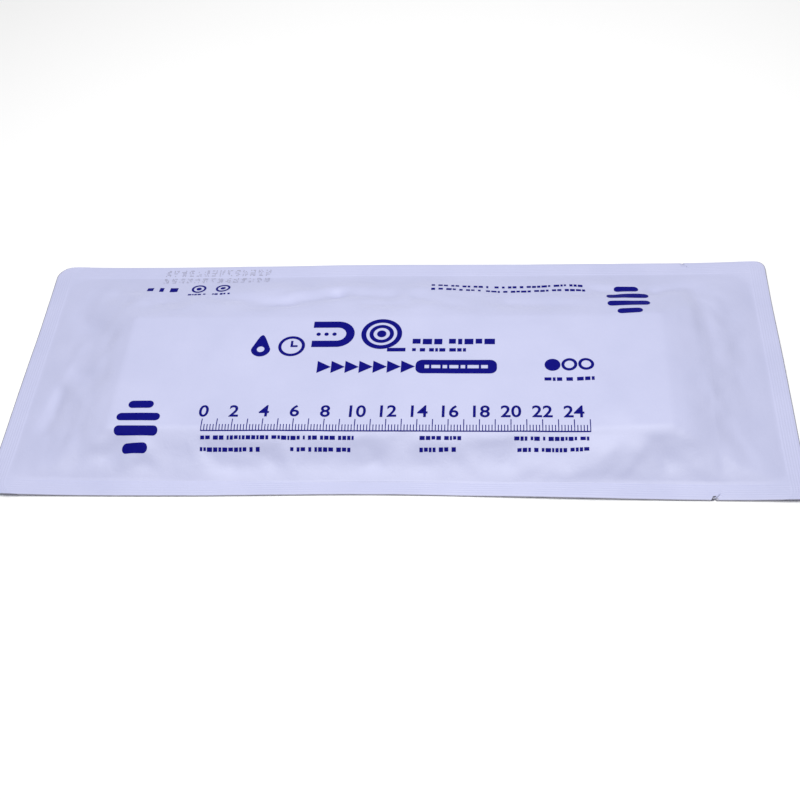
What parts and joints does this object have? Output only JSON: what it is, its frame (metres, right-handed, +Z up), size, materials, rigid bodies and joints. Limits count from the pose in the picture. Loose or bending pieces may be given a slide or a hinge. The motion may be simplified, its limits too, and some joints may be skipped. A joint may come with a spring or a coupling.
{
  "type": "sealed pouch holding an orthopedic splint",
  "caption": "Long heat-sealed film pouch lying flat, with tear notches in its seals and a padded casting splint folded in half inside.",
  "frame": {"origin": "on the surface that the pouch lies on, under the middle of its outline", "axes": "+X along the pouch towards the bend of the folded splint, +Y across the pouch towards its wider margin, +Z up through the printed front film"},
  "size_m": [0.5204, 0.21, 0.0206],
  "materials": {
    "film": "satin",
    "padding": "matte felt"
  },
  "bodies": {
    "root": {"back_film": "film", "front_film": "film", "folded_splint": "padding"}
  },
  "joints": []
}
